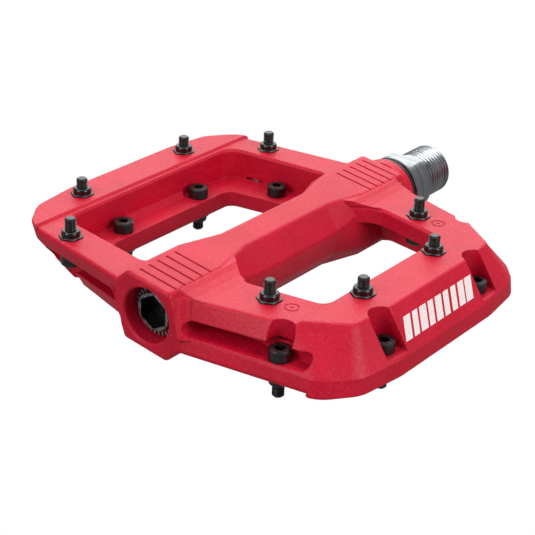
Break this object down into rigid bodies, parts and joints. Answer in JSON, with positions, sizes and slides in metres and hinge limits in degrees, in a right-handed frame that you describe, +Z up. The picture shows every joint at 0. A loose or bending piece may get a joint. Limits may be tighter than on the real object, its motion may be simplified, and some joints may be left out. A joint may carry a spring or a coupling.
{
  "type": "flat pedal",
  "caption": "Flat bicycle pedal: moulded platform with two windows and screw pins on both faces, spinning on a threaded steel axle.",
  "frame": {"origin": "on the axle's centreline, in the shoulder that seats on the crank arm", "axes": "+X forward, +Y along the axle away from the crank, +Z up; the left-hand pedal"},
  "size_m": [0.1104, 0.1233, 0.024],
  "materials": {
    "moulded_body": "fine spark texture, glass-filled nylon, red",
    "axle_steel": "turned chrome-molybdenum steel",
    "pin_black": "black oxide",
    "nut_black": "black oxide",
    "seal_rubber": "smooth nitrile rubber",
    "bushing_polymer": "moulded bearing polymer",
    "bearing_steel": "ground bearing steel",
    "cage_polymer": "natural nylon",
    "hardware_zinc": "zinc plated",
    "cap_metal": "machined aluminium"
  },
  "bodies": {
    "axle_unit": {"axle": "axle_steel", "bearing_inner_race": "bearing_steel", "lock_washer": "hardware_zinc", "axle_lock_nut": "hardware_zinc"},
    "platform": {"platform_body": "moulded_body", "inboard_seal": "seal_rubber", "inboard_bushing": "bushing_polymer", "bearing_outer_race": "bearing_steel", "bearing_shield_inboard": "bearing_steel", "bearing_shield_outboard": "bearing_steel", "end_cap": "cap_metal", "end_cap_seal": "seal_rubber", "top_front_bar_outer_screw": "pin_black", "bottom_front_bar_outer_screw": "pin_black", "top_front_bar_inner_screw": "pin_black", "bottom_front_bar_inner_screw": "pin_black", "top_front_rail_outer_screw": "pin_black", "bottom_front_rail_outer_screw": "pin_black", "top_front_rail_inner_screw": "pin_black", "bottom_front_rail_inner_screw": "pin_black", "top_rear_rail_outer_screw": "pin_black", "bottom_rear_rail_outer_screw": "pin_black", "top_rear_rail_inner_screw": "pin_black", "bottom_rear_rail_inner_screw": "pin_black", "top_rear_bar_outer_screw": "pin_black", "bottom_rear_bar_outer_screw": "pin_black", "top_rear_bar_inner_screw": "pin_black", "bottom_rear_bar_inner_screw": "pin_black", "top_front_bar_outer_nut": "nut_black", "bottom_front_bar_outer_nut": "nut_black", "top_front_bar_inner_nut": "nut_black", "bottom_front_bar_inner_nut": "nut_black", "top_front_rail_outer_nut": "nut_black", "bottom_front_rail_outer_nut": "nut_black", "top_front_rail_inner_nut": "nut_black", "bottom_front_rail_inner_nut": "nut_black", "top_rear_rail_outer_nut": "nut_black", "bottom_rear_rail_outer_nut": "nut_black", "top_rear_rail_inner_nut": "nut_black", "bottom_rear_rail_inner_nut": "nut_black", "top_rear_bar_outer_nut": "nut_black", "bottom_rear_bar_outer_nut": "nut_black", "top_rear_bar_inner_nut": "nut_black", "bottom_rear_bar_inner_nut": "nut_black"},
    "ball_train": {"bearing_cage": "cage_polymer", "bearing_balls": "bearing_steel"}
  },
  "joints": [
    {"name": "platform_spin", "type": "hinge", "parent": "axle_unit", "child": "platform", "pos_m": [0, 0.062, 0], "axis": [0, 1, 0], "continuous": true},
    {"name": "ball_train_spin", "type": "hinge", "parent": "axle_unit", "child": "ball_train", "pos_m": [0, 0.0945, 0], "axis": [0, 1, 0], "continuous": true}
  ],
  "couplings": [
    {"joint": "ball_train_spin", "follows": "platform_spin", "ratio": 0.616}
  ]
}
